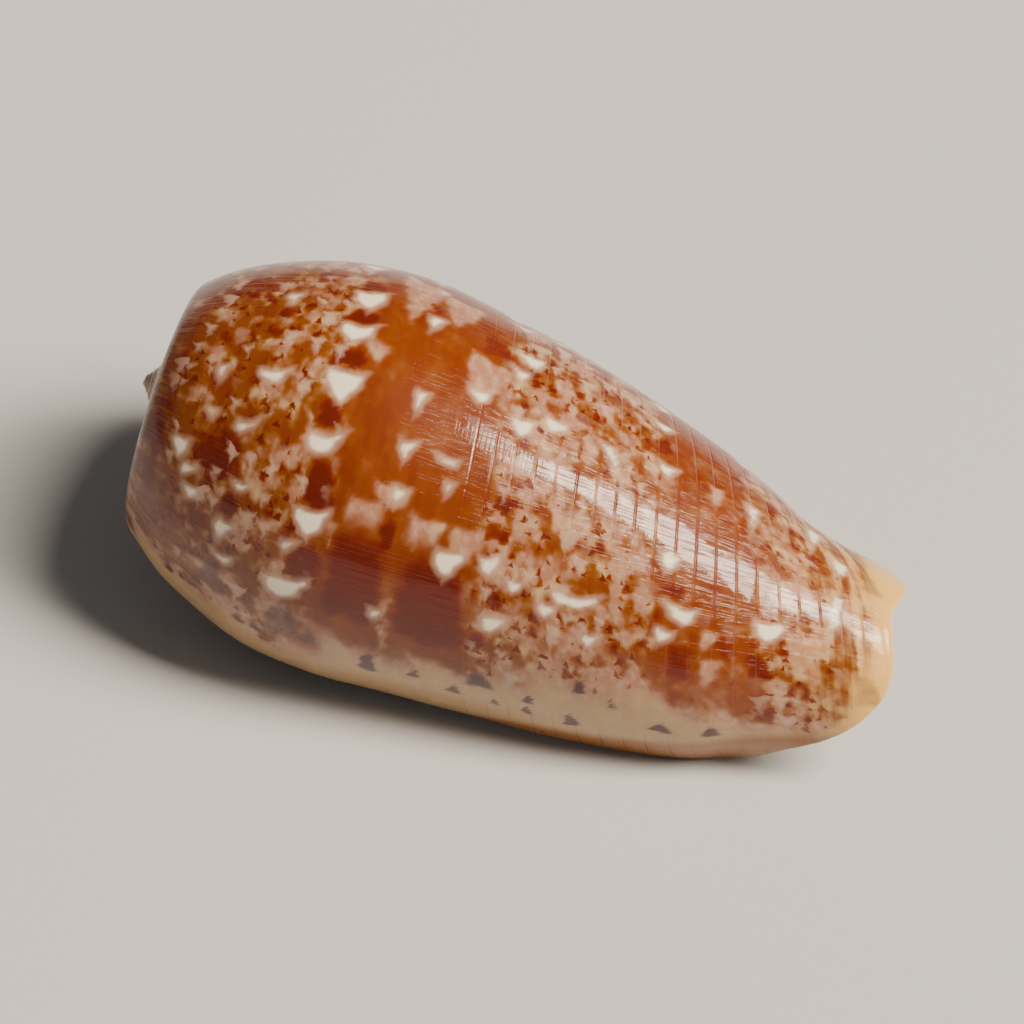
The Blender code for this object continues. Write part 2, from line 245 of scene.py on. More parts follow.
# Pigment of the ground, and how mottled it is, as (line, value).
GROUND_PIGMENT = (
    (-2.0, 0.42), (2.5, 0.5), (4.0, 0.62), (6.0, 0.56), (10.0, 0.54), (13.0, 0.43), (17.0, 0.41), (19.5, 0.4),
    (34.0, 0.34), (48.0, 0.36), (57.0, 0.34), (66.0, 0.38), (74.0, 0.3), (100.0, 0.15),
)
MOTTLING = (
    (-2.0, 1.3), (2.5, 1.2), (4.0, 0.9), (8.0, 1.0), (18.0, 1.0), (21.0, 0.3), (32.0, 0.3), (35.0, 0.95),
    (47.0, 0.95), (50.0, 0.4), (56.0, 0.5), (60.0, 0.9), (74.0, 0.8), (90.0, 0.3),
)

# Bare margin along the lip, and the edge of the painted shade on its anterior half, the dark seen through the
# thin lip, as (x, back angle).
MARGIN = ((3.0, 12.0), (8.0, 16.0), (13.0, 17.0), (18.0, 15.0), (22.0, 19.0), (27.0, 21.0), (31.0, 24.0),
          (36.0, 29.0), (42.0, 32.0), (47.0, 32.0), (52.0, 28.0), (56.0, 24.0), (60.0, 27.0), (64.0, 37.0))
LIP_SHADE_EDGE = ((28.0, -4.0), (33.0, 2.0), (37.0, 8.0), (45.0, 14.0), (52.0, 19.0), (56.0, 23.0), (62.0, 28.0))
MARGIN_FADE = 6.0
PIGMENT_FADE = 12.0
MARGIN_WANDER = 7.0
MARGIN_WAVES = ((2.3, 3.1, 5.0, 7.3), 23)
LIP_SHADE_FADE = (-4.0, 2.0)

# The anterior end turns pale over this stretch of x, which moves by the lean over these back angles.
END_X = (60.6, 63.6)
END_LEAN = 2.0
END_LEAN_BACK = (70.0, 112.0)

# Back angles over which the pigment fades towards the apex: a pale apex, made paler as a painted highlight on
# its small nib.
PALE_APEX = (700.0, 1550.0)

# Back angles over which the floor of the cavity turns to porcelain.
PORCELAIN_BACK = (1.0, 13.0)

# Linear colours.
WHITE = (0.90, 0.82, 0.64, 1.0)
PALE_LILAC = (0.54, 0.35, 0.25, 1.0)
LILAC = (0.37, 0.17, 0.105, 1.0)
CREAM = (0.53, 0.35, 0.17, 1.0)
# Painted shade: a brownish colour for the dark seen through the thin lip edge.
LIP_SHADE_COLOUR = (0.31, 0.115, 0.018, 1.0)
YELLOW_CREAM = (0.80, 0.47, 0.12, 1.0)
ORANGE = (0.205, 0.038, 0.0002, 1.0)
MUSTARD = (0.215, 0.066, 0.0005, 1.0)
BROWN = (0.155, 0.015, 0.0003, 1.0)
CHESTNUT = (0.115, 0.008, 0.0002, 1.0)
VIOLET = (0.07, 0.016, 0.024, 1.0)
PORCELAIN = (0.82, 0.74, 0.66, 1.0)
FLOOR = (0.57, 0.585, 0.61, 1.0)

# Noise of the pigment: its scale across the spiral lines and along them, per millimetre, and its range.
PATCHES = ((0.5, 0.38), 1.2)
FINE_PATCHES = ((1.3, 1.1), 0.4)
PATCH_DETAIL = 1.5
STREAKS = ((0.8, 0.16), 0.16)
END_STREAKS = ((0.9, 0.09), 1.1)

# The greatest pigment that noise alone gives.
MOTTLED_MOST = 0.58

# Over these lines the anterior end gains its streaks and loses this share of the patches and small marks.
STREAKED = (58.0, 67.0)
END_CALM = 0.8

# Small marks show as the mottling and the line pass these values.
MARKS_MOTTLING = (0.3, 0.9)
MARKS_LINES = (2.5, 5.5)

# Their places wander with noise of this scale and range; sizes go from the least up by the spread.
MARK_WANDER_SCALE = 1.1
MARK_WANDER = 0.9
MARK_LEAST = 0.35
MARK_SPREAD = 1.1

# Small marks: cell, height and half width in millimetres, and 1 with the tip at the older end, else -1.
# Each has the chances at which it shows, the depths of its soft edge in millimetres, and its strength.
SPECK = (1.5, 0.8, 0.36, 1.0)
SPECK_CHANCE = (0.45, 0.7)
SPECK_HALO = (-0.45, 0.1)
SPECK_CORE = (-0.08, 0.16)
SPECK_HALO_ADDS = 0.14
SPECK_CORE_ADDS = 0.28
DOT = (1.05, 0.5, 0.26, 1.0)
DOT_CHANCE = (0.62, 0.72)
DOT_EDGE = (-0.08, 0.1)
DOT_ADDS = 0.45
FLECK = (2.4, 1.7, 0.72, -1.0)
FLECK_CHANCE = (0.4, 0.7)
FLECK_EDGE = (-0.3, 0.35)
FLECK_MOST = 0.75

# Pigment at which each brown starts and is full, and how much mustard the thinnest takes.
THIN_PIGMENT = (0.16, 0.52)
BROWN_PIGMENT = (0.46, 0.70)
DARK_PIGMENT = (0.64, 0.92)
MUSTARD_MOST = 0.7

# Ground: scales and steps of its noise, and the greatest shares of the colours laid over it.
CREAM_SCALE = (0.5, 0.35)
CREAM_STEP = (0.5, 0.8)
CLOUD_SCALE = (1.2, 0.9)
CLOUD_STEP = (0.4, 0.75)
CLOUD_MOST = 0.55
END_CREAM = 0.55
BARE_MOST = 0.8

# Soft edges of the tents, by depth in millimetres, and of the smudges, and how far noise moves them.
EDGE_WARP_SCALE = (0.9, 0.9)
TENT_WARP = 0.27
TENT_HALO = (-0.55, 0.1)
TENT_HALO_MOST = 0.6
TENT_EDGE = (-0.04, 0.4)
SMUDGE_WARP = 0.225
SMUDGE_EDGE = (0.05, 0.85)
SMUDGE_MOST = 0.95

# Finish of the shell, under its polished coat, and of the floor.
BODY_ROUGHNESS = 0.5
BODY_SPECULAR = 0.1
COAT_WEIGHT = 0.9
COAT_ROUGHNESS = 0.04
COAT_IOR = 1.47
FLOOR_ROUGHNESS = 0.8

# Relief of the mesh, in millimetres: spiral grooves, which start over these lines, grooves on the spire's
# ramp, growth lines and broad lumps, the last two with the lengths and seed of their waves.
GROOVE_SPACING = 1.85
GROOVE_START = (34.0, 50.0)
GROOVE_SHARE = (0.2, 1.0)
GROOVE_DEPTH = 0.018
RAMP_GROOVES = 2
RAMP_GROOVE_DEPTH = 0.12
GROWTH_DEPTH = 0.006
GROWTH_SLANT = 0.08
GROWTH_WAVES = ((1.1, 1.7, 2.9, 0.8, 4.3), 3)
LUMP_DEPTH = 0.05
LUMP_WAVES = ((9.0, 13.0, 17.0, 7.0), 5)

# Bump: sharp spiral grooves over these lines, as wide as this on each side, growth lines and scratches.
FINE_GROOVE_START = (29.0, 34.0)
FINE_GROOVE_MM = 0.17
GROOVE_WANDER = ((0.45, 0.05), 0.3)
GROWTH_SCALE = (0.14, 6.0)
GROWTH_ROUGHNESS = 0.6
GROWTH_STEP = (0.5, 0.72)
GROWTH_SHARE = 0.18
SCRATCH_SCALE = (5.0, 0.3)
SCRATCH_SHARE = 0.08
BUMP_STRENGTH = 0.9
BUMP_MM = 0.06

# Lights and floor, in metres: a soft box like a window to the right, and an even surround.
WINDOW_CENTRE = (0.6, 0.02, 1.1)
WINDOW_SIZE = (0.34, 1.2)
WINDOW_POWER = 56.0
WINDOW_COLOUR = (1.0, 0.85, 0.68)
SURROUND_COLOUR = (1.0, 0.97, 0.92, 1.0)
SURROUND_STRENGTH = 0.12
FLOOR_SIZE = 6.0
FLOOR_GAP = 0.00005

# Camera: what it looks at above the base, its direction, distance and framing in the photo's pixels.
IMAGE_SIDE = 1024
CAMERA_TARGET = (0.0, 0.0, 14.0)
CAMERA_ELEVATION = 48.0
CAMERA_AZIMUTH = 12.467
CAMERA_ROLL = 3.955
CAMERA_DISTANCE = 403.583
PIXELS_PER_MM = 12.683
TARGET_PIXEL = (521.223, 494.247)
SENSOR = 36.0
CLIP_START = 0.01


def smooth(value, low, high):
    """Smooth step from 0 at low to 1 at high."""
    share = np.clip((value - low) / (high - low), 0.0, 1.0)
    return share * share * (3.0 - 2.0 * share)


def curve_through(knots, values, at):
    """Smooth curve through the values at the knots, read at other places."""
    knots = np.asarray(knots, float)
    values = np.asarray(values, float)
    slopes = np.gradient(values, knots)
    place = np.clip(at, knots[0], knots[-1])
    i = np.clip(np.searchsorted(knots, place, side="right") - 1, 0, len(knots) - 2)
    width = knots[i + 1] - knots[i]
    t = (place - knots[i]) / width
    start = (2 * t**3 - 3 * t**2 + 1) * values[i] + (t**3 - 2 * t**2 + t) * width * slopes[i]
    end = (3 * t**2 - 2 * t**3) * values[i + 1] + (t**3 - t**2) * width * slopes[i + 1]
    return start + end


def crest_level(radius):
    """X of the crest where it has this radius, measured from the apex."""
    return SPIRE_HEIGHT * (1.0 - np.exp(-radius / SPIRE_FALL))


OUTLINE = np.array((
    (RAMP[0][0], NEXT_SUTURE[1] / GROWTH), *RAMP, (crest_level(CREST_RADIUS), CREST_RADIUS),
    NEXT_SUTURE, *SIDE,
))
CURVE_MM = np.concatenate(([0.0], np.cumsum(np.hypot(*np.diff(OUTLINE, axis=0).T))))
CURVE = CURVE_MM / CURVE_MM[-1]
CREST = CURVE[len(RAMP) + 1]
SUTURE = CURVE[len(RAMP) + 2]
JUNCTION = CURVE[len(RAMP) + 3]
WIDEST = CURVE[np.argmax(OUTLINE[:, 1])]
CREST_X = OUTLINE[len(RAMP) + 1, 0]

FLARE_X, FLARE_RADIUS = np.array(FLARE).T
RIM_BACK, RIM_X = np.array(RIM).T
RIM_SEARCH = np.linspace(WIDEST, 1.0, RIM_STEPS)
RIM_SEARCH_X = curve_through(CURVE, OUTLINE[:, 0], RIM_SEARCH)


def place_on_outline(back, place):
    """Place on the whole outline, drawn in so that place 1 falls on the anterior rim."""
    rim = np.interp(curve_through(RIM_BACK, RIM_X, back), RIM_SEARCH_X, RIM_SEARCH)
    return np.where(place > WIDEST, WIDEST + (place - WIDEST) * (rim - WIDEST) / (1.0 - WIDEST), place)


def section_x(size, lip_x, on_outline):
    """X of the outer surface: coiled with the spire up to the shoulder, straight along the side."""
    level = crest_level(CREST_RADIUS * size)
    suture_x = crest_level(CREST_RADIUS * size / GROWTH) + (NEXT_SUTURE[0] - CREST_X) * size / GROWTH
    ramp_foot_x = level + (OUTLINE[0, 0] - CREST_X) * size
    drop = (suture_x - ramp_foot_x) * (1.0 - smooth(on_outline, 0.0, CREST))
    spire_x = level + (lip_x - CREST_X) * size + drop
    side = on_side(on_outline, lip_x)
    return spire_x * (1.0 - side) + lip_x * side


def on_side(on_outline, lip_x):
    """0 on the coiled ramp and crest, 1 on the straight side."""
    return np.where(on_outline > CREST, smooth(lip_x, NEXT_SUTURE[0], SHOULDER_END), 0.0)


def section_radius(back, size, lip_x, on_outline):
    """Radius of the outer surface, with the low far shoulder and the flare towards the lip."""
    lip_radius = curve_through(CURVE, OUTLINE[:, 1], on_outline)
    far = smooth(back, *SLOPE_RISE) * (1.0 - smooth(back, *SLOPE_FADE))
    cut = SLOPE_CUT * far * smooth(on_outline, 0.0, CREST) * (1.0 - smooth(lip_x, *SLOPE_X))
    fade = np.cos(np.radians(90.0 * np.clip(back / FLARE_END, 0.0, 1.0))) ** FLARE_POWER
    return (lip_radius - cut) * size + curve_through(FLARE_X, FLARE_RADIUS, lip_x) * fade


def section_point(back, place):
    """X and radius of the outer surface at a back angle and a place on the generating curve."""
    on_outline = place_on_outline(back, place)
    lip_x = curve_through(CURVE, OUTLINE[:, 0], on_outline)
    size = GROWTH ** (-back / TURN)
    return section_x(size, lip_x, on_outline), section_radius(back, size, lip_x, on_outline)


def sinus(back, place):
    """How far the growth line at this back angle is drawn back at this place, in degrees."""
    lip_x = curve_through(CURVE, OUTLINE[:, 0], place)
    past = 1.0 - smooth(np.where(place > CREST, lip_x, 0.0), NEXT_SUTURE[0], SINUS_END_X)
    near = 1.0 - smooth(back, 0.0, SINUS_REACH)
    return SINUS_DEPTH * smooth(place, 0.0, CREST) * past * near


def around(back, x, radius):
    """Points at an X and a radius, turned to their back angle about the shell's axis."""
    turned = np.radians(back - LIP_DROP)
    return np.stack((x, -radius * np.cos(turned), radius * np.sin(turned)), axis=-1)


def waves(first, second, lengths, seed):
    """Smooth seeded unevenness over two coordinates, about -1 to 1, from plane waves of the given lengths."""
    draw = np.random.default_rng(seed)
    total = np.zeros(np.broadcast(first, second).shape)
    for length in lengths:
        angle, phase = draw.uniform(0.0, 2.0 * np.pi, 2)
        along = (first * np.cos(angle) + second * np.sin(angle)) / length
        total = total + np.sin(2.0 * np.pi * along + phase)
    return total / len(lengths)


def chart(back, place):
    """Chart x, spiral line and chart height of outer points."""
    on_outline = place_on_outline(back, place)
    lip_x = curve_through(CURVE, OUTLINE[:, 0], on_outline)
    ramp_x = NEXT_SUTURE[0] + (on_outline - SUTURE) * CURVE_MM[-1]
    chart_x = np.where(on_outline < SUTURE, ramp_x, lip_x)
    line = chart_x * GROWTH ** (back / TURN * on_side(on_outline, lip_x))
    return chart_x, line, back * CHART_MM


def relief(back, place):
    """Height of the fine relief of the outer surface, in millimetres."""
    chart_x, line, height = chart(back, place)
    groove = np.cos(2.0 * np.pi * line / GROOVE_SPACING)
    grooves = -GROOVE_DEPTH * smooth(groove, *GROOVE_SHARE) * smooth(line, *GROOVE_START)
    on_ramp = np.clip(place / CREST, 0.0, 1.0)
    ramp_groove = 0.5 - 0.5 * np.cos(2.0 * np.pi * RAMP_GROOVES * on_ramp)
    ramp = -RAMP_GROOVE_DEPTH * ramp_groove * GROWTH ** (-back / TURN)
    growth = GROWTH_DEPTH * waves(height, GROWTH_SLANT * chart_x, *GROWTH_WAVES)
    lumps = LUMP_DEPTH * waves(chart_x, height, *LUMP_WAVES) * smooth(place, CREST, JUNCTION)
    return grooves + ramp + growth + lumps


def outer(back, place):
    """Points of the outer surface, with its relief."""
    back, place = np.broadcast_arrays(np.asarray(back, float), np.asarray(place, float))
    grown = back + sinus(back, place)
    x, radius = section_point(grown, place)
    return around(grown, x, radius + relief(grown, place))


def floor_place(across):
    """Place on the generating curve of the cavity's floor, across from the junction to the rim."""
    return JUNCTION + (1.0 - JUNCTION) * across


def wall_place(across):
    """Place on the outer surface that the inner face lies under."""
    start = 0.5 * CURVE[1]
    return floor_place(across) - (JUNCTION - start) * (1.0 - smooth(across, 0.0, JUNCTION_SPREAD))


def inner(back, across):
    """Points of the inner face of the outer wall."""
    back, across = np.broadcast_arrays(np.asarray(back, float), np.asarray(across, float))
    place = wall_place(across)
    grown = back + sinus(back, place) * smooth(across, 0.0, CORNER_SHARE)
    outer_x, outer_radius = section_point(grown, place)
    floor_x, floor_radius = section_point(grown + TURN, floor_place(across))
    floor_radius = floor_radius + relief(grown + TURN, floor_place(across))
    gap = np.hypot(floor_x - outer_x, floor_radius - outer_radius)
    wall = LIP_WALL + (WALL - LIP_WALL) * smooth(back, 0.0, LIP_THINNING)
    limit = 1.0 + (NARROW_SHARE - 1.0) * smooth(across, 0.0, CORNER_SHARE)
    share = np.minimum(wall / gap, limit)
    share = share + (1.0 - share) * smooth(back, CAVITY_PINCH, CAVITY_END)
    share = np.where(across <= 0.0, 1.0, share)
    x = outer_x + (floor_x - outer_x) * share
    radius = outer_radius + (floor_radius - outer_radius) * share
    return around(grown, x, radius)


def unit(vectors):
    """The vectors at length 1."""
    return vectors / np.linalg.norm(vectors, axis=-1, keepdims=True)


def angles(first, last, step):
    """Back angles from first to last, about one step apart."""
    return np.linspace(first, last, round((last - first) / step) + 1)


def in_triangle(x, back, mark):
    """How far points are inside a tent, in millimetres; its older edge sags and its sides bulge."""
    left, right, tip = np.array(mark).reshape(3, 2) * (1.0, CHART_MM)
    base = np.hypot(*(right - left))
    height = back * CHART_MM
    inside = np.full(np.broadcast(x, height).shape, np.inf)
    for start, end, swell in ((right, left, -TENT_SAG), (left, tip, TENT_BULGE), (tip, right, TENT_BULGE)):
        along = end - start
        length = np.hypot(*along)
        across = (along[0] * (height - start[1]) - along[1] * (x - start[0])) / length
        share = np.clip(((x - start[0]) * along[0] + (height - start[1]) * along[1]) / length**2, 0.0, 1.0)
        inside = np.minimum(inside, across + swell * base * 4.0 * share * (1.0 - share))
    return inside


def deepest(x, back, marks):
    """The greatest depth inside any of the tents."""
    depth = np.full(np.broadcast(x, back).shape, FAR_OUTSIDE)
    for mark in marks:
        depth = np.maximum(depth, in_triangle(x, back, mark))
    return depth


def blotch(x, back, mark, taper):
    """Soft blotch along its spiral line, 0 to 1, narrowed and faded at its older end."""
    centre_x, older, newer, half_width = mark[:4]
    middle = 0.5 * (older + newer)
    line_x = centre_x * GROWTH ** ((middle - back) / TURN)
    older_share = np.clip((back - newer) / (older - newer), 0.0, 1.0)
    half = half_width * (BLOTCH_WIDTH - taper * older_share)
    across = 1.0 - smooth(np.abs(x - line_x) / half, *BLOTCH_EDGE)
    fade = BLOTCH_OLD_FADE * (older - newer)
    end = BLOTCH_END * (older - newer)
    old_end = 1.0 - smooth(back, older - fade, older + BLOTCH_PAST_END)
    return across * old_end * smooth(back, newer - end, newer + end)


def hidden_marks():
    """Seeded tents, and the blotches behind them, along the spiral lines of the hidden side."""
    draw = np.random.default_rng(HIDDEN_SEED)
    tents = []
    blotches = []
    for line, half_width, height in TENT_LINES:
        back = SEEN_BACK + draw.uniform(0.0, 2.0 * height)
        while back < HIDDEN_END:
            x = line * GROWTH ** (-back / TURN)
            half = half_width * draw.uniform(*HIDDEN_WIDTH)
            tall = height * draw.uniform(*HIDDEN_HEIGHT)
            lean = draw.uniform(*HIDDEN_LEAN) * half
            tilt = draw.uniform(*HIDDEN_TILT) * tall
            tents.append((x - half, back - tilt, x + half, back + tilt, x + lean, back - tall))
            older, newer = back + HIDDEN_BLOTCH_HEIGHT * tall, back + HIDDEN_BLOTCH_START
            blotches.append((x, older, newer, half * HIDDEN_BLOTCH_WIDTH, draw.uniform(*HIDDEN_DARK)))
            back += tall * draw.uniform(*HIDDEN_GAP)
    return tents, blotches


def pattern(back, place):
    """Fields of the pattern at outer points, by name."""
    chart_x, line, height = chart(back, place)
    hidden_tents, hidden_blotches = hidden_marks()
    warp_x = WARP_MM * waves(chart_x, height, *WARP_X_WAVES)
    warp_back = WARP_MM / CHART_MM * waves(chart_x, height, *WARP_BACK_WAVES)
    near = chart_x + 0.5 * warp_x, back + 0.5 * warp_back
    behind, ahead = TENT_SHRINK
    tents = deepest(*near, (*TENTS, *hidden_tents))
    tents = tents - behind - (ahead - behind) * smooth(chart_x, *TENT_SHRINK_X)
    flames = smooth(deepest(*near, FLAMES), *FLAME_EDGE)
    pigment = np.interp(line, *np.array(GROUND_PIGMENT).T)
    for start, end, strength in BANDS:
        band = smooth(line, start - BAND_EDGE, start + BAND_EDGE)
        band = band * (1.0 - smooth(line, end - BAND_EDGE, end + BAND_EDGE))
        pigment = pigment + (strength - pigment) * band
    pigment = pigment * (1.0 - FLAME_PALES * flames)
    for mark in (*BLOTCHES, *hidden_blotches):
        dark = mark[4] * blotch(chart_x + warp_x, back + warp_back, mark, BLOTCH_TAPER)
        pigment = np.maximum(pigment, dark)
    margin = curve_through(*np.array(MARGIN).T, chart_x)
    ragged = back + MARGIN_WANDER * waves(chart_x, 0.5 * height, *MARGIN_WAVES)
    bare = 1.0 - smooth(ragged, margin - MARGIN_FADE, margin + MARGIN_FADE)
    thinned = smooth(ragged, margin - MARGIN_FADE, margin + PIGMENT_FADE)
    violet = np.zeros_like(pigment)
    for mark in SMUDGES:
        violet = np.maximum(violet, mark[4] * blotch(*near, mark, SMUDGE_TAPER))
    edge = curve_through(*np.array(LIP_SHADE_EDGE).T, chart_x)
    # Painted shade along the thin anterior lip, where the dark behind shows through.
    tan = 1.0 - smooth(back - edge, *LIP_SHADE_FADE)
    # Pale apex, partly its own colour and partly a painted highlight on the nib.
    apex_fade_with_painted_highlight = 1.0 - smooth(back, *PALE_APEX)
    return {
        "tents": tents,
        "pigment": pigment * thinned * apex_fade_with_painted_highlight,
        "mottling": np.interp(line, *np.array(MOTTLING).T) * (1.0 - bare) * (1.0 - flames) * apex_fade_with_painted_highlight,
        "bare": bare,
        "violet": violet,
        "tan": np.where(chart_x < LIP_SHADE_EDGE[0][0], 0.0, tan),
        "anterior": smooth(chart_x + END_LEAN * smooth(back, *END_LEAN_BACK), *END_X),
    }


FIELDS = ("tents", "pigment", "mottling", "bare", "violet", "tan", "anterior", "inside")


class Patches:
    """Vertices, faces, chart coordinates and pattern fields of a mesh that is merged from patches."""

    def __init__(self):
        self.points = []
        self.chart = []
        self.fields = {name: [] for name in FIELDS}
        self.faces = []
        self.count = 0

    def add_points(self, points, back, place, inside):
        """Add points with their place on the chart, and give their indices in the same arrangement."""
        shape = points.shape[:-1]
        back = np.broadcast_to(back, shape)
        place = np.broadcast_to(place, shape)
        _, line, height = chart(back, place)
        found = pattern(back, place)
        found["inside"] = np.broadcast_to(inside, shape)
        self.points.append(points.reshape(-1, 3))
        self.chart.append(np.stack((line, height), axis=-1).reshape(-1, 2))
        for name in FIELDS:
            self.fields[name].append(found[name].reshape(-1))
        indices = self.count + np.arange(np.prod(shape)).reshape(shape)
        self.count += indices.size
        return indices

    def add_grid(self, indices):
        """Quads over a grid of indices."""
        a, b, c, d = indices[:-1, :-1], indices[1:, :-1], indices[1:, 1:], indices[:-1, 1:]
        self.faces.extend(np.stack((a, b, c, d), axis=-1).reshape(-1, 4).tolist())

    def add_fan(self, loop, hub):
        """Triangles from a row of indices to one index."""
        self.faces.extend([a, b, hub] for a, b in zip(loop.tolist(), loop[1:].tolist()))

    def add_strip(self, first, second):
        """Triangles between two rows of indices with different counts."""
        points = np.concatenate(self.points)
        marks = [length_marks(points[row]) for row in (first, second)]
        i = j = 0
        while i + 1 < len(first) or j + 1 < len(second):
            next_first = marks[0][i + 1] if i + 1 < len(first) else math.inf
            next_second = marks[1][j + 1] if j + 1 < len(second) else math.inf
            if next_first <= next_second:
                self.faces.append([int(first[i]), int(first[i + 1]), int(second[j])])
                i += 1
            else:
                self.faces.append([int(first[i]), int(second[j + 1]), int(second[j])])
                j += 1

    def to_mesh(self, name):
        """The merged mesh, in metres on the shell's own axis, faces outward."""
        data = bpy.data.meshes.new(name)
        data.from_pydata(np.concatenate(self.points), [], self.faces)
        coordinates = data.uv_layers.new(name="chart")
        loops = np.empty(len(data.loops), int)
        data.loops.foreach_get("vertex_index", loops)
        coordinates.data.foreach_set("uv", np.concatenate(self.chart)[loops].astype(np.float32).ravel())
        for field in FIELDS:
            layer = data.attributes.new(field, "FLOAT", "POINT")
            layer.data.foreach_set("value", np.concatenate(self.fields[field]).astype(np.float32))
        mesh = bmesh.new()
        mesh.from_mesh(data)
        bmesh.ops.remove_doubles(mesh, verts=mesh.verts, dist=MERGE)
        bmesh.ops.dissolve_degenerate(mesh, dist=MERGE, edges=mesh.edges)
        bmesh.ops.recalc_face_normals(mesh, faces=mesh.faces)
        bmesh.ops.scale(mesh, vec=(MM, MM, MM), verts=mesh.verts)
        mesh.to_mesh(data)
        mesh.free()
        data.shade_smooth()
        return data


def length_marks(points):
    """Share of the row's whole length at each of its points."""
    lengths = np.linalg.norm(np.diff(points, axis=0), axis=1)
    return np.concatenate(([0.0], np.cumsum(lengths))) / lengths.sum()


def ramp_places():
    """Places across the spire's ramp, from its inner foot to the next suture."""
    foot = np.linspace(0.0, CURVE[1], FOOT_ROWS)
    ramp = np.linspace(CURVE[1], CREST, RAMP_ROWS)
    return np.concatenate((foot[:-1], ramp[:-1], np.linspace(CREST, SUTURE, CREST_ROWS)))


def add_body(patches, places):
    """Outer face of the body whorl."""
    back = angles(0.0, TURN, BODY_STEP)[:, None]
    patches.add_grid(patches.add_points(outer(back, places), back + sinus(back, places), places, 0.0))


def add_cavity(patches):
    """Floor of the open cavity, and the inner face of the wall over it."""
    across = np.linspace(0.0, 1.0, CAVITY_ROWS)
    back = angles(0.0, CAVITY_END, CAVITY_STEP)[:, None]
    floor = floor_place(across)
    inside = smooth(back, *PORCELAIN_BACK)
    patches.add_grid(patches.add_points(outer(back + TURN, floor), back + TURN, floor, inside))
    patches.add_grid(patches.add_points(inner(back, across), back, wall_place(across), 1.0))


def add_spire(patches, places):
    """Coiled ramp of the earlier whorls, closed by a point at the apex."""
    last = TURN * SPIRE_TURNS
    ramp = places[places <= SUTURE]
    back = angles(TURN, last, SPIRE_STEP)[:, None]
    patches.add_grid(patches.add_points(outer(back, ramp), back, ramp, 0.0))
    turn = angles(last - TURN, last, SPIRE_STEP)
    loop_back = np.concatenate((turn, np.full(len(ramp) - 1, last)))
    loop_place = np.concatenate((np.zeros(len(turn)), ramp[1:]))
    loop = patches.add_points(outer(loop_back, loop_place), loop_back, loop_place, 0.0)
    hub = patches.add_points(np.array(((APEX_X, 0.0, 0.0),)), last, 0.0, 0.0)
    patches.add_fan(loop, int(hub[0]))


def edge_rows(across, rim_back):
    """Rows of the rounded edge, from the outer face to the inner, along the lip and then the rim."""
    lip_place = wall_place(across)
    outside = np.concatenate((outer(0.0, lip_place), outer(rim_back, 1.0)))
    inside = np.concatenate((inner(0.0, across), inner(rim_back, 1.0)))
    lip_ahead = unit(outer(0.0, lip_place) - outer(1.0, lip_place))
    rim_ahead = unit(outer(rim_back, 1.0) - outer(rim_back, RIM_BEHIND))
    lip_ahead[-1] = unit(lip_ahead[-1] + rim_ahead[0])
    ahead = np.concatenate((lip_ahead, rim_ahead))
    half = 0.5 * np.linalg.norm(outside - inside, axis=1)
    reach = np.minimum(EDGE_BULGE, half)[:, None]
    rows = []
    for turn in np.linspace(0.0, np.pi, EDGE_ROWS + 2)[1:-1]:
        middle = 0.5 * (outside + inside)
        rows.append(middle + 0.5 * (outside - inside) * np.cos(turn) + ahead * reach * np.sin(turn))
    return np.stack(rows)


def add_edge(patches, places):
    """Rounded edge of the lip and the anterior rim; gives the points where it ends."""
    across = np.linspace(0.0, 1.0, CAVITY_ROWS)
    rim_back = angles(0.0, CAVITY_END, CAVITY_STEP)[1:]
    fine_rim = angles(0.0, CAVITY_END, BODY_STEP)[1:]
    rows = edge_rows(across, rim_back)
    back = np.concatenate((np.zeros(len(across)), rim_back))
    place = np.concatenate((wall_place(across), np.ones(len(rim_back))))
    outside = patches.add_points(
        np.concatenate((outer(0.0, places), outer(fine_rim, 1.0))),
        np.concatenate((np.zeros(len(places)), fine_rim)),
        np.concatenate((places, np.ones(len(fine_rim)))), 0.0)
    inside = patches.add_points(np.concatenate((inner(0.0, across), inner(rim_back, 1.0))), back, place, 1.0)
    share = np.linspace(0.0, 1.0, EDGE_ROWS + 2)[1:-1, None]
    edge = patches.add_points(rows, back, place, share)
    patches.add_strip(outside, edge[0])
    patches.add_grid(edge)
    patches.add_grid(np.stack((edge[-1], inside)))
    return rows[:, -1]


def add_tip(patches, edge_end):
    """Bulging end of the column, closed from its rim and the end of the rounded edge to one point."""
    rim_back = angles(CAVITY_END, CAVITY_END + TURN, BODY_STEP)
    points = np.concatenate((outer(rim_back, 1.0), edge_end[::-1]))
    back = np.concatenate((rim_back, np.full(EDGE_ROWS, CAVITY_END)))
    loop = patches.add_points(points, back, 1.0, 0.0)
    centre = points.mean(axis=0)
    centre[0] = points[:, 0].max() + TIP_BULGE
    hub = patches.add_points(centre[None], CAVITY_END, 1.0, 0.0)
    patches.add_fan(np.append(loop, loop[0]), int(hub[0]))


def shell_data():
    """The whole shell as one dense mesh with its pattern."""
    patches = Patches()
    side = floor_place(np.linspace(0.0, 1.0, SIDE_ROWS))
    places = np.concatenate((ramp_places(), side))
    add_body(patches, places)
    add_cavity(patches)
    add_spire(patches, places)
    add_tip(patches, add_edge(patches, places))
    return patches.to_mesh("cone_shell")


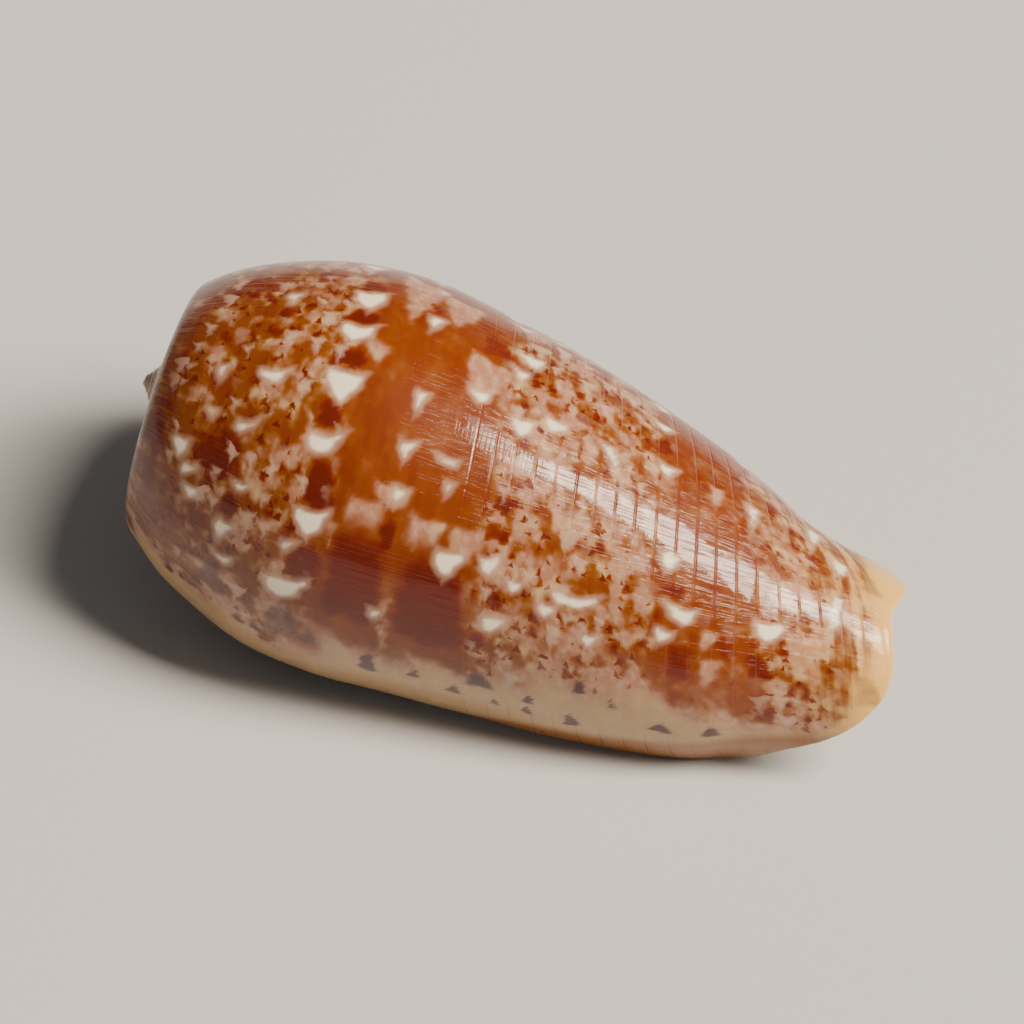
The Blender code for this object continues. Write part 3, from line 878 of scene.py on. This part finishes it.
class Graph:
    """Short forms for building a material's node tree."""

    def __init__(self, name):
        self.material = bpy.data.materials.new(name)
        self.material.use_nodes = True
        self.tree = self.material.node_tree

    def fill(self, node, inputs):
        """Set or link a node's inputs, by name or number."""
        for name, value in inputs.items():
            if isinstance(value, bpy.types.NodeSocket):
                self.tree.links.new(value, node.inputs[name])
            else:
                node.inputs[name].default_value = value

    def add(self, kind, inputs, **settings):
        """A new node with these inputs and settings."""
        node = self.tree.nodes.new("ShaderNode" + kind)
        for name, value in settings.items():
            setattr(node, name, value)
        self.fill(node, inputs)
        return node

    def shade(self, inputs):
        """The material, with these inputs of its shader set or linked."""
        self.fill(self.tree.nodes["Principled BSDF"], inputs)
        return self.material

    def math(self, operation, first, second=0.0):
        """Result of a maths node."""
        return self.add("Math", {0: first, 1: second}, operation=operation).outputs[0]

    def product(self, first, *others):
        """Product of values."""
        for other in others:
            first = self.math("MULTIPLY", first, other)
        return first

    def total(self, first, *others):
        """Sum of values."""
        for other in others:
            first = self.math("ADD", first, other)
        return first

    def less(self, value):
        """What a value leaves of 1."""
        return self.math("SUBTRACT", 1.0, value)

    def step(self, value, low, high):
        """Smooth step of a value between two limits."""
        inputs = {"Value": value, "From Min": low, "From Max": high}
        return self.add("MapRange", inputs, interpolation_type="SMOOTHSTEP").outputs["Result"]

    def mix(self, share, first, second):
        """Mix of two colours."""
        return self.add("Mix", {0: share, 6: first, 7: second}, data_type="RGBA").outputs[2]

    def vector(self, operation, first, second):
        """Result of a vector maths node."""
        return self.add("VectorMath", {0: first, 1: second}, operation=operation).outputs[0]

    def separate(self, vector):
        """Coordinates of a vector, by name."""
        return self.add("SeparateXYZ", {0: vector}).outputs

    def field(self, name):
        """A field of the mesh."""
        return self.add("Attribute", {}, attribute_name=name).outputs["Fac"]

    def chart(self, scale=(1.0, 1.0)):
        """Chart coordinates, across and along the spiral lines, times a scale."""
        source = self.add("UVMap", {}, uv_map="chart")
        return self.vector("MULTIPLY", source.outputs["UV"], (*scale, 1.0))

    def noise(self, scale, detail=2.0, roughness=0.5):
        """Noise over the chart, about 0 to 1."""
        inputs = {"Vector": self.chart(scale), "Scale": 1.0, "Detail": detail, "Roughness": roughness}
        return self.add("TexNoise", inputs, noise_dimensions="2D").outputs["Fac"]

    def uneven(self, scale, reach, detail=2.0):
        """Noise over the chart about zero, with this range."""
        return self.product(self.math("SUBTRACT", self.noise(scale, detail), 0.5), reach)

    def wander(self, scale, reach):
        """Seeded smooth offset of the chart, in millimetres."""
        node = self.add("TexNoise", {"Vector": self.chart(), "Scale": scale}, noise_dimensions="2D")
        centred = self.vector("SUBTRACT", node.outputs["Color"], (0.5, 0.5, 0.5))
        return self.vector("MULTIPLY", centred, (reach, reach, reach))

    def marks(self, place, cell, height, half_width, up):
        """Depth inside small seeded triangles, one in each cell, and each cell's chance."""
        node = self.add("TexVoronoi", {"Vector": place, "Scale": 1.0 / cell}, voronoi_dimensions="2D")
        offset = self.separate(self.vector("SUBTRACT", place, node.outputs["Position"]))
        chance = self.add("SeparateColor", {0: node.outputs["Color"]}).outputs
        size = self.total(self.product(chance[0], MARK_SPREAD), MARK_LEAST)
        half_height = self.product(size, 0.5 * height)
        along = self.product(offset["Y"], up)
        from_tip = self.math("SUBTRACT", half_height, along)
        sides = self.math("SUBTRACT", self.product(from_tip, half_width / height),
                          self.math("ABSOLUTE", offset["X"]))
        return self.math("MINIMUM", sides, self.total(along, half_height)), chance[1]


def uneven_pigment(graph, mottling, far_forward, calm):
    """The mesh's pigment, moved up and down by patches, and by long streaks at the anterior end."""
    patches = graph.total(graph.uneven(*PATCHES, PATCH_DETAIL), graph.uneven(*FINE_PATCHES, PATCH_DETAIL))
    end_streaks = graph.product(graph.uneven(*END_STREAKS), far_forward)
    change = graph.product(graph.total(graph.product(patches, calm), end_streaks), mottling)
    pigment = graph.field("pigment")
    most = graph.math("MAXIMUM", pigment, MOTTLED_MOST)
    return graph.math("MINIMUM", graph.total(pigment, change), most)


def brown_marks(graph, place, shown):
    """Pigment that small triangles add: specks with a halo, and finer dots."""
    speck, chance = graph.marks(place, *SPECK)
    halo = graph.product(graph.step(speck, *SPECK_HALO), SPECK_HALO_ADDS)
    core = graph.product(graph.step(speck, *SPECK_CORE), SPECK_CORE_ADDS)
    specks = graph.product(graph.total(halo, core), graph.step(chance, *SPECK_CHANCE))
    dot, chance = graph.marks(place, *DOT)
    dots = graph.product(graph.step(dot, *DOT_EDGE), graph.step(chance, *DOT_CHANCE), DOT_ADDS)
    return graph.product(graph.total(specks, dots), shown)


def ground_colour(graph, far_forward):
    """Lilac and cream ground with pale clouds, cream at the bare margin, brownish painted shade where the lip
    is thin.
    """
    ground = graph.mix(graph.step(graph.noise(CREAM_SCALE), *CREAM_STEP), LILAC, CREAM)
    cloud = graph.step(graph.noise(CLOUD_SCALE), *CLOUD_STEP)
    ground = graph.mix(graph.product(cloud, CLOUD_MOST), ground, PALE_LILAC)
    ground = graph.mix(graph.product(far_forward, END_CREAM), ground, YELLOW_CREAM)
    ground = graph.mix(graph.product(graph.field("bare"), BARE_MOST), ground, CREAM)
    # Painted shade: the dark seen through the thin lip, laid over the ground.
    ground = graph.mix(graph.field("tan"), ground, LIP_SHADE_COLOUR)
    return graph.mix(graph.field("anterior"), ground, YELLOW_CREAM)


def with_pigment(graph, ground, pigment, mottling):
    """The ground under brown pigment, by its strength; thin pigment is yellower where it is mottled."""
    thin = graph.mix(graph.product(mottling, MUSTARD_MOST), ORANGE, MUSTARD)
    colour = graph.mix(graph.step(pigment, *THIN_PIGMENT), ground, thin)
    streaked = graph.total(pigment, graph.uneven(*STREAKS))
    colour = graph.mix(graph.step(streaked, *BROWN_PIGMENT), colour, BROWN)
    return graph.mix(graph.step(streaked, *DARK_PIGMENT), colour, CHESTNUT)


def with_pale_marks(graph, colour, place, shown):
    """The colour under pale flecks and white tents with a pale edge, and the violet smudges."""
    fleck, chance = graph.marks(place, *FLECK)
    seen = graph.product(graph.step(fleck, *FLECK_EDGE), graph.step(chance, *FLECK_CHANCE), shown, FLECK_MOST)
    colour = graph.mix(seen, colour, PALE_LILAC)
    tent = graph.total(graph.field("tents"), graph.uneven(EDGE_WARP_SCALE, TENT_WARP))
    colour = graph.mix(graph.product(graph.step(tent, *TENT_HALO), TENT_HALO_MOST), colour, PALE_LILAC)
    colour = graph.mix(graph.step(tent, *TENT_EDGE), colour, WHITE)
    smudge = graph.total(graph.field("violet"), graph.uneven(EDGE_WARP_SCALE, SMUDGE_WARP))
    return graph.mix(graph.product(graph.step(smudge, *SMUDGE_EDGE), SMUDGE_MOST), colour, VIOLET)


def bump(graph):
    """Normal with fine spiral grooves, growth lines and scratches."""
    line = graph.separate(graph.chart())["X"]
    phase = graph.math("PINGPONG", graph.total(line, graph.uneven(*GROOVE_WANDER)), 0.5 * GROOVE_SPACING)
    groove = graph.less(graph.step(phase, 0.0, FINE_GROOVE_MM))
    groove = graph.product(groove, graph.step(line, *FINE_GROOVE_START))
    growth = graph.step(graph.noise(GROWTH_SCALE, roughness=GROWTH_ROUGHNESS), *GROWTH_STEP)
    scratches = graph.product(graph.noise(SCRATCH_SCALE), SCRATCH_SHARE)
    raised = graph.total(graph.product(growth, GROWTH_SHARE), scratches)
    height = graph.math("SUBTRACT", raised, groove)
    inputs = {"Strength": BUMP_STRENGTH, "Distance": BUMP_MM * MM, "Height": height}
    return graph.add("Bump", inputs).outputs["Normal"]


def shell_material():
    """Polished shell: lilac and cream ground, brown bands, mottling, white tents, bare lip margin."""
    graph = Graph("polished_shell")
    mottling = graph.field("mottling")
    line = graph.separate(graph.chart())["X"]
    far_forward = graph.step(line, *STREAKED)
    calm = graph.less(graph.product(far_forward, END_CALM))
    shown = graph.product(graph.step(mottling, *MARKS_MOTTLING), graph.step(line, *MARKS_LINES), calm)
    place = graph.vector("ADD", graph.chart(), graph.wander(MARK_WANDER_SCALE, MARK_WANDER))
    pigment = uneven_pigment(graph, mottling, far_forward, calm)
    pigment = graph.total(pigment, brown_marks(graph, place, shown))
    pigment = graph.product(pigment, graph.less(graph.field("anterior")))
    colour = with_pigment(graph, ground_colour(graph, far_forward), pigment, mottling)
    colour = with_pale_marks(graph, colour, place, shown)
    colour = graph.mix(graph.field("inside"), colour, PORCELAIN)
    return graph.shade({
        "Base Color": colour, "Roughness": BODY_ROUGHNESS, "Specular IOR Level": BODY_SPECULAR,
        "Coat Weight": COAT_WEIGHT, "Coat Roughness": COAT_ROUGHNESS, "Coat IOR": COAT_IOR,
        "Coat Normal": bump(graph),
    })


def make_shell():
    """The dressed shell, laid where the solid lies."""
    data = shell_data()
    data.materials.append(shell_material())
    turn = Matrix.Rotation(math.radians(PITCH), 4, "Y")
    data.transform(turn)
    points = np.empty(len(data.vertices) * 3)
    data.vertices.foreach_get("co", points)
    points = points.reshape(-1, 3)
    low, high = np.array(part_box("shell"))
    own_low, own_high = points.min(axis=0), points.max(axis=0)
    shift = 0.5 * (low + high) - 0.5 * (own_low + own_high)
    shift[2] = low[2] - own_low[2]
    data.transform(Matrix.Translation(shift))
    shell = bpy.data.objects.new("cone_shell", data)
    bpy.context.scene.collection.objects.link(shell)
    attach(shell, "root")
    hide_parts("shell")


def make_floor():
    """Plain pale floor, far wider than the shell."""
    bpy.ops.mesh.primitive_plane_add(size=FLOOR_SIZE, location=(0.0, 0.0, -FLOOR_GAP))
    floor = bpy.context.object
    floor.name = "floor"
    pale = Graph("pale_floor").shade({"Base Color": FLOOR, "Roughness": FLOOR_ROUGHNESS})
    floor.data.materials.append(pale)


def make_lights():
    """An upright window-like soft box on the right, facing the shell's side, and a pale surround."""
    light = bpy.data.lights.new("window", "AREA")
    light.shape = "RECTANGLE"
    light.size, light.size_y = WINDOW_SIZE
    light.energy = WINDOW_POWER
    light.color = WINDOW_COLOUR
    lamp = bpy.data.objects.new("window", light)
    bpy.context.scene.collection.objects.link(lamp)
    axes = Matrix(((0.0, 0.0, 1.0), (1.0, 0.0, 0.0), (0.0, 1.0, 0.0))).to_4x4()
    lamp.matrix_world = Matrix.Translation(WINDOW_CENTRE) @ axes
    world = bpy.data.worlds.new("surround")
    world.use_nodes = True
    background = world.node_tree.nodes["Background"]
    background.inputs["Color"].default_value = SURROUND_COLOUR
    background.inputs["Strength"].default_value = SURROUND_STRENGTH
    bpy.context.scene.world = world


def make_camera():
    """Camera at the photo's angle and framing."""
    elevation, azimuth, roll = (math.radians(a) for a in (CAMERA_ELEVATION, CAMERA_AZIMUTH, CAMERA_ROLL))
    away = Vector((math.sin(azimuth) * math.cos(elevation), -math.cos(azimuth) * math.cos(elevation),
                   math.sin(elevation)))
    right = Vector((math.cos(azimuth), math.sin(azimuth), 0.0))
    up = away.cross(right)
    right, up = (right * math.cos(roll) + up * math.sin(roll), up * math.cos(roll) - right * math.sin(roll))
    focus = PIXELS_PER_MM * CAMERA_DISTANCE
    data = bpy.data.cameras.new("camera")
    data.sensor_width = SENSOR
    data.lens = focus * SENSOR / IMAGE_SIDE
    data.shift_x = (0.5 * IMAGE_SIDE - TARGET_PIXEL[0]) / IMAGE_SIDE
    data.shift_y = (TARGET_PIXEL[1] - 0.5 * IMAGE_SIDE) / IMAGE_SIDE
    data.clip_start = CLIP_START
    camera = bpy.data.objects.new("camera", data)
    bpy.context.scene.collection.objects.link(camera)
    axes = Matrix((right, up, away)).transposed().to_4x4()
    camera.matrix_world = Matrix.Translation((Vector(CAMERA_TARGET) + away * CAMERA_DISTANCE) * MM) @ axes
    bpy.context.scene.camera = camera


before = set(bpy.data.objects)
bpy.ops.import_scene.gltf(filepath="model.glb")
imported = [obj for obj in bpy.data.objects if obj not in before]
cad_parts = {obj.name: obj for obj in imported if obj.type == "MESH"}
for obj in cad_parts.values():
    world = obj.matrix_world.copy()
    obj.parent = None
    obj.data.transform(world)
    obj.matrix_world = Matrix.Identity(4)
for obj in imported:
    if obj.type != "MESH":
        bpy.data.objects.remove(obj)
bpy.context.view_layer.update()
make_shell()
make_floor()
make_lights()
make_camera()
